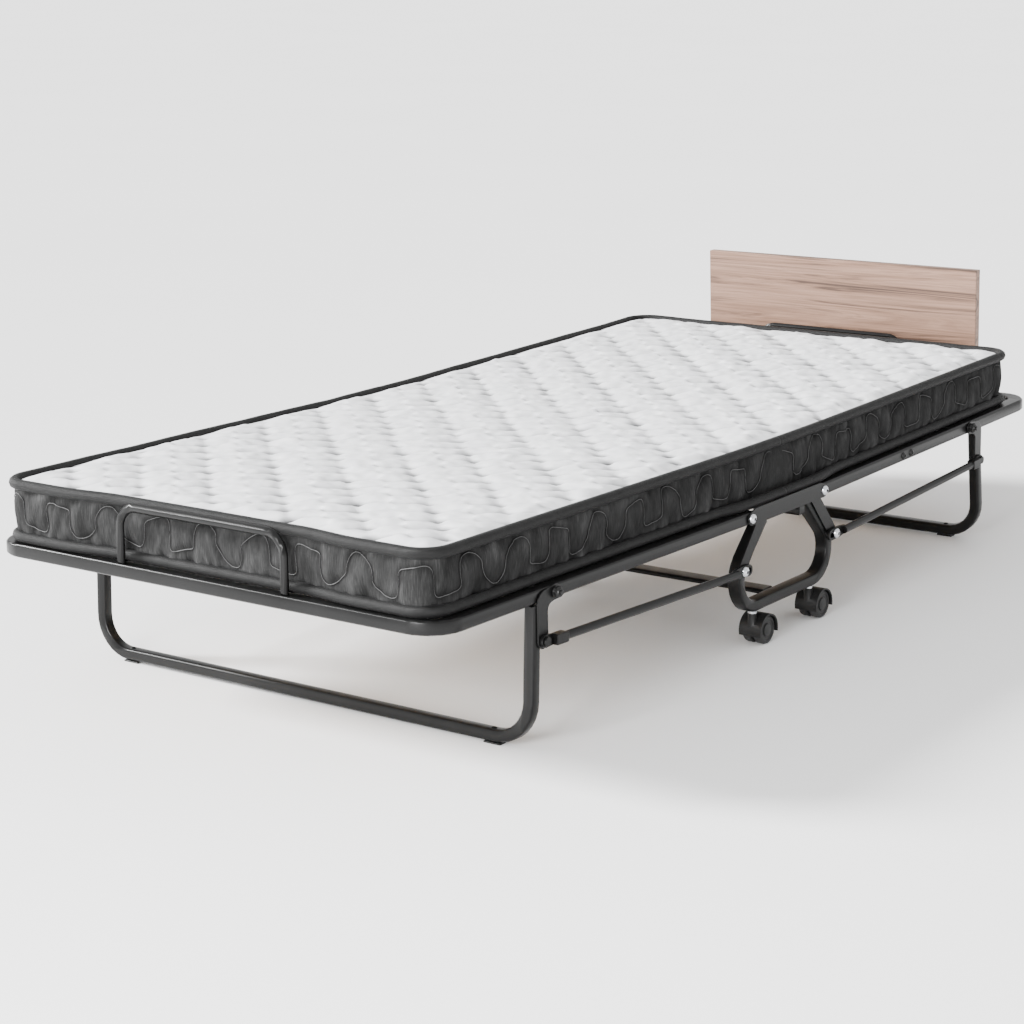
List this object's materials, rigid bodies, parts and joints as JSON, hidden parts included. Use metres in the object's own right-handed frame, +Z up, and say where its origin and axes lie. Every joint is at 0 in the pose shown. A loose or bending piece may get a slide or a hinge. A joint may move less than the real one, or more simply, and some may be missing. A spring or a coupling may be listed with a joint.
{
  "type": "folding cot",
  "caption": "Folding guest bed on castors: two hinged slatted decks, self-folding legs, quilted mattress, end hoops and a wooden headboard that becomes a table top when folded.",
  "frame": {"origin": "on the floor, under the middle of the cot's length and width", "axes": "+X from the foot to the head, +Y to the left side as seen from the foot, +Z up; Y is across the bed"},
  "size_m": [1.9956, 0.9624, 0.4956],
  "materials": {
    "powder_coat": "satin charcoal powder coat",
    "zinc": "bright zinc plate",
    "black_plastic": "satin moulded black plastic",
    "beech": "clear varnished beech plywood",
    "oak_laminate": "matt pinkish grey oak laminate",
    "ticking": "white quilted ticking with a grey quilted border"
  },
  "bodies": {
    "centre_frame": {"hinge_plate_right": "powder_coat", "wheel_loop_right": "powder_coat", "hinge_bolt_foot_right": "zinc", "rod_pin_foot_right": "zinc", "hinge_bolt_head_right": "zinc", "rod_pin_head_right": "zinc", "hinge_plate_left": "powder_coat", "wheel_loop_left": "powder_coat", "hinge_bolt_foot_left": "zinc", "rod_pin_foot_left": "zinc", "hinge_bolt_head_left": "zinc", "rod_pin_head_left": "zinc", "upper_cross_tube": "powder_coat", "lower_cross_bar": "powder_coat", "mattress_fold": "ticking"},
    "foot_deck": {"foot_rail": "powder_coat", "foot_crossbar": "powder_coat", "foot_slat_1": "beech", "foot_slat_2": "beech", "foot_slat_3": "beech", "foot_slat_4": "beech", "foot_slat_5": "beech", "foot_slat_6": "beech", "mattress_foot": "ticking", "foot_hoop": "powder_coat"},
    "foot_leg": {"foot_leg_tube": "powder_coat", "foot_leg_bracket_right": "powder_coat", "foot_glide_right": "black_plastic", "foot_leg_bracket_left": "powder_coat", "foot_glide_left": "black_plastic"},
    "foot_rod_right_body": {"foot_rod_right": "powder_coat"},
    "castor_foot_right": {"castor_housing_foot_right": "black_plastic"},
    "castor_wheels_foot_right_body": {"castor_wheels_foot_right": "black_plastic"},
    "foot_rod_left_body": {"foot_rod_left": "powder_coat"},
    "castor_foot_left": {"castor_housing_foot_left": "black_plastic"},
    "castor_wheels_foot_left_body": {"castor_wheels_foot_left": "black_plastic"},
    "head_deck": {"head_rail": "powder_coat", "head_crossbar": "powder_coat", "head_slat_1": "beech", "head_slat_2": "beech", "head_slat_3": "beech", "head_slat_4": "beech", "head_slat_5": "beech", "head_slat_6": "beech", "mattress_head": "ticking", "head_hoop": "powder_coat", "headboard": "oak_laminate", "headboard_bracket_right": "powder_coat", "headboard_bracket_left": "powder_coat"},
    "head_leg": {"head_leg_tube": "powder_coat", "head_leg_bracket_right": "powder_coat", "head_glide_right": "black_plastic", "head_leg_bracket_left": "powder_coat", "head_glide_left": "black_plastic"},
    "head_rod_right_body": {"head_rod_right": "powder_coat"},
    "castor_head_right": {"castor_housing_head_right": "black_plastic"},
    "castor_wheels_head_right_body": {"castor_wheels_head_right": "black_plastic"},
    "head_rod_left_body": {"head_rod_left": "powder_coat"},
    "castor_head_left": {"castor_housing_head_left": "black_plastic"},
    "castor_wheels_head_left_body": {"castor_wheels_head_left": "black_plastic"}
  },
  "joints": [
    {"name": "foot_fold", "type": "hinge", "parent": "centre_frame", "child": "foot_deck", "pos_m": [-0.1445, 0, 0.231], "axis": [0, 1, 0], "range_deg": [0, 89], "deforming": ["mattress_fold"]},
    {"name": "foot_leg_fold", "type": "hinge", "parent": "foot_deck", "child": "foot_leg", "pos_m": [-0.71443, 0, 0.23966], "axis": [0, -1, 0], "range_deg": [0, 89]},
    {"name": "foot_rod_right_pivot", "type": "hinge", "parent": "foot_leg", "child": "foot_rod_right_body", "pos_m": [-0.74743, -0.4697, 0.17066], "axis": [0, 1, 0], "range_deg": [0, 89]},
    {"name": "foot_rod_left_pivot", "type": "hinge", "parent": "foot_leg", "child": "foot_rod_left_body", "pos_m": [-0.74743, 0.4697, 0.17066], "axis": [0, 1, 0], "range_deg": [0, 89]},
    {"name": "head_fold", "type": "hinge", "parent": "centre_frame", "child": "head_deck", "pos_m": [0.0995, 0, 0.231], "axis": [0, -1, 0], "range_deg": [0, 89]},
    {"name": "head_leg_fold", "type": "hinge", "parent": "head_deck", "child": "head_leg", "pos_m": [0.66943, 0, 0.23966], "axis": [0, 1, 0], "range_deg": [0, 89]},
    {"name": "head_rod_right_pivot", "type": "hinge", "parent": "head_leg", "child": "head_rod_right_body", "pos_m": [0.70243, -0.4697, 0.17066], "axis": [0, -1, 0], "range_deg": [0, 89]},
    {"name": "head_rod_left_pivot", "type": "hinge", "parent": "head_leg", "child": "head_rod_left_body", "pos_m": [0.70243, 0.4697, 0.17066], "axis": [0, -1, 0], "range_deg": [0, 89]},
    {"name": "castor_foot_right_swivel", "type": "hinge", "parent": "centre_frame", "child": "castor_foot_right", "pos_m": [-0.1175, -0.4505, 0], "axis": [0, 0, 1], "continuous": true},
    {"name": "castor_foot_right_roll", "type": "hinge", "parent": "castor_foot_right", "child": "castor_wheels_foot_right_body", "pos_m": [-0.0975, -0.4505, 0.025], "axis": [0, 1, 0], "continuous": true},
    {"name": "castor_foot_left_swivel", "type": "hinge", "parent": "centre_frame", "child": "castor_foot_left", "pos_m": [-0.1175, 0.4505, 0], "axis": [0, 0, 1], "continuous": true},
    {"name": "castor_foot_left_roll", "type": "hinge", "parent": "castor_foot_left", "child": "castor_wheels_foot_left_body", "pos_m": [-0.0975, 0.4505, 0.025], "axis": [0, 1, 0], "continuous": true},
    {"name": "castor_head_right_swivel", "type": "hinge", "parent": "centre_frame", "child": "castor_head_right", "pos_m": [0.0725, -0.4505, 0], "axis": [0, 0, 1], "continuous": true},
    {"name": "castor_head_right_roll", "type": "hinge", "parent": "castor_head_right", "child": "castor_wheels_head_right_body", "pos_m": [0.0925, -0.4505, 0.025], "axis": [0, 1, 0], "continuous": true},
    {"name": "castor_head_left_swivel", "type": "hinge", "parent": "centre_frame", "child": "castor_head_left", "pos_m": [0.0725, 0.4505, 0], "axis": [0, 0, 1], "continuous": true},
    {"name": "castor_head_left_roll", "type": "hinge", "parent": "castor_head_left", "child": "castor_wheels_head_left_body", "pos_m": [0.0925, 0.4505, 0.025], "axis": [0, 1, 0], "continuous": true}
  ],
  "couplings": [
    {"joint": "foot_leg_fold", "follows": "foot_fold", "ratio": 1},
    {"joint": "foot_rod_right_pivot", "follows": "foot_fold", "ratio": 0.985},
    {"joint": "foot_rod_left_pivot", "follows": "foot_fold", "ratio": 0.985},
    {"joint": "head_leg_fold", "follows": "head_fold", "ratio": 1},
    {"joint": "head_rod_right_pivot", "follows": "head_fold", "ratio": 0.985},
    {"joint": "head_rod_left_pivot", "follows": "head_fold", "ratio": 0.985}
  ]
}
